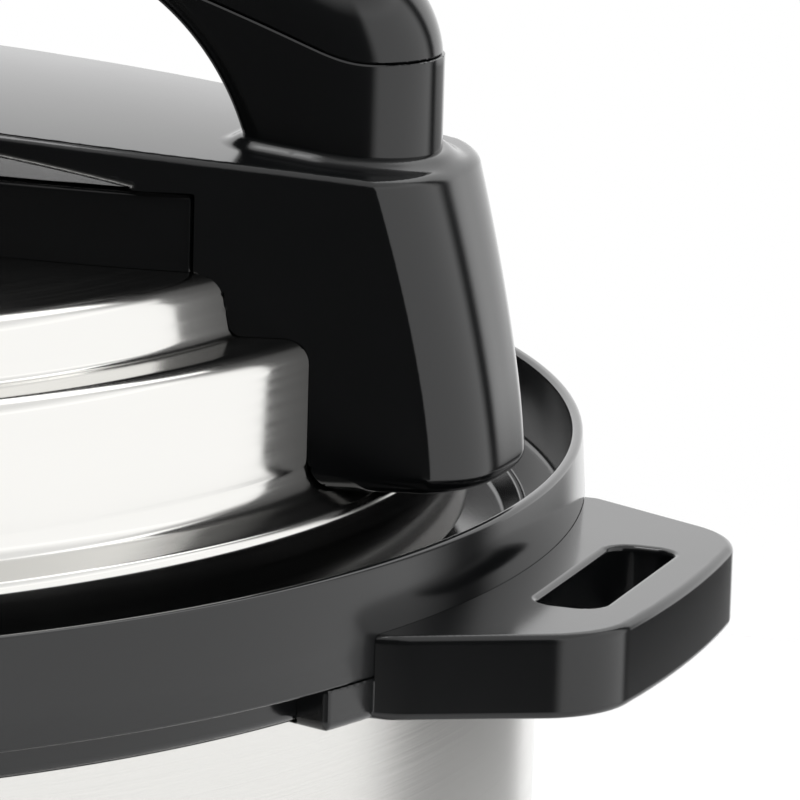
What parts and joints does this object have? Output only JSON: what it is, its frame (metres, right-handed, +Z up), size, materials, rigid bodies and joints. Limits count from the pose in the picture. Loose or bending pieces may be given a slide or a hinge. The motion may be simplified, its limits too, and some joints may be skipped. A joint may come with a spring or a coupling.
{
  "type": "electric pressure cooker",
  "caption": "Electric pressure cooker: steel drum, black collar with slotted side lugs, bayonet steel lid with arched bridge handle, steam release, float valve and inner pot.",
  "frame": {"origin": "centre of the overall footprint on the floor, under the feet", "axes": "+Z up, front with the control panel faces -Y, the carrying lugs and the handle lie along X"},
  "size_m": [0.34, 0.31, 0.317],
  "materials": {
    "black_gloss": "glossy black moulded plastic",
    "black_satin": "fine satin black plastic",
    "polished_steel": "mirror-polished stainless steel",
    "brushed_steel": "brushed stainless steel",
    "pressed_steel": "pressed sheet steel",
    "cast_aluminium": "machined cast aluminium",
    "silicone": "translucent grey-white silicone",
    "red_silicone": "red silicone",
    "foot_rubber": "dark rubber",
    "display_glass": "dark smoked acrylic",
    "board_green": "solder-masked board",
    "button_grey": "satin dark grey plastic",
    "collector_smoke": "smoky clear plastic",
    "brass_pins": "plated brass"
  },
  "bodies": {
    "base": {"feet": "foot_rubber", "bottom_cover": "black_satin", "cover_screws": "pressed_steel", "base_ring": "black_satin", "drum": "brushed_steel", "collar": "black_gloss", "rim_tray": "black_gloss", "left_lug": "black_gloss", "right_lug": "black_gloss", "liner": "pressed_steel", "heating_plate": "cast_aluminium", "control_panel": "black_gloss", "display_lens": "display_glass", "control_board": "board_green", "power_board": "board_green", "power_inlet": "black_satin", "inlet_pins": "brass_pins", "collector_rails": "black_satin"},
    "sensor": {"sensor_plunger": "cast_aluminium"},
    "pot": {"inner_pot": "brushed_steel"},
    "collector": {"condensation_collector": "collector_smoke"},
    "seal": {"sealing_ring": "silicone"},
    "lid": {"ring_rack": "pressed_steel", "lid_shell": "polished_steel", "lid_slab": "black_gloss", "handle_bridge": "black_gloss", "grip_lower": "black_gloss", "grip_cap": "black_gloss", "lid_screws": "pressed_steel", "grip_screws": "pressed_steel", "steam_pipe": "pressed_steel", "steam_shield": "pressed_steel", "float_guide": "black_satin"},
    "release": {"steam_release": "black_satin"},
    "float": {"float_pin": "pressed_steel", "float_seal": "red_silicone"},
    "button_start_key": {"button_start": "button_grey"},
    "button_cancel_key": {"button_cancel": "button_grey"},
    "button_minus_key": {"button_minus": "button_grey"},
    "button_plus_key": {"button_plus": "button_grey"},
    "button_menu_key": {"button_menu": "button_grey"},
    "button_warm_key": {"button_warm": "button_grey"}
  },
  "joints": [
    {"name": "lid_lift", "type": "slide", "parent": "base", "child": "seal", "axis": [0, 0, 1], "range_m": [0, 0.24]},
    {"name": "lid_turn", "type": "hinge", "parent": "seal", "child": "lid", "pos_m": [0, 0, 0.227], "axis": [0, 0, 1], "range_deg": [0, 30]},
    {"name": "pot_lift", "type": "slide", "parent": "base", "child": "pot", "axis": [0, 0, 1], "range_m": [0, 0.12]},
    {"name": "steam_release_turn", "type": "hinge", "parent": "lid", "child": "release", "pos_m": [0, 0.074, 0.27], "axis": [0, 0, 1], "range_deg": [0, 45]},
    {"name": "float_valve_rise", "type": "slide", "parent": "lid", "child": "float", "axis": [0, 0, 1], "range_m": [0, 0.006]},
    {"name": "sensor_press", "type": "slide", "parent": "base", "child": "sensor", "axis": [0, 0, 1], "range_m": [-0.0015, 0], "stiffness_N_per_m": 1500, "springref_m": 0.001},
    {"name": "collector_slide", "type": "slide", "parent": "base", "child": "collector", "axis": [0, 1, 0], "range_m": [0, 0.03]},
    {"name": "button_start_press", "type": "slide", "parent": "base", "child": "button_start_key", "axis": [0, 1, 0], "range_m": [0, 0.0005], "stiffness_N_per_m": 600},
    {"name": "button_cancel_press", "type": "slide", "parent": "base", "child": "button_cancel_key", "axis": [0, 1, 0], "range_m": [0, 0.0005], "stiffness_N_per_m": 600},
    {"name": "button_minus_press", "type": "slide", "parent": "base", "child": "button_minus_key", "axis": [0, 1, 0], "range_m": [0, 0.0005], "stiffness_N_per_m": 600},
    {"name": "button_plus_press", "type": "slide", "parent": "base", "child": "button_plus_key", "axis": [0, 1, 0], "range_m": [0, 0.0005], "stiffness_N_per_m": 600},
    {"name": "button_menu_press", "type": "slide", "parent": "base", "child": "button_menu_key", "axis": [0, 1, 0], "range_m": [0, 0.0005], "stiffness_N_per_m": 600},
    {"name": "button_warm_press", "type": "slide", "parent": "base", "child": "button_warm_key", "axis": [0, 1, 0], "range_m": [0, 0.0005], "stiffness_N_per_m": 600}
  ],
  "couplings": [
    {"joint": "pot_lift", "follows": "lid_lift", "ratio": 0.5}
  ]
}
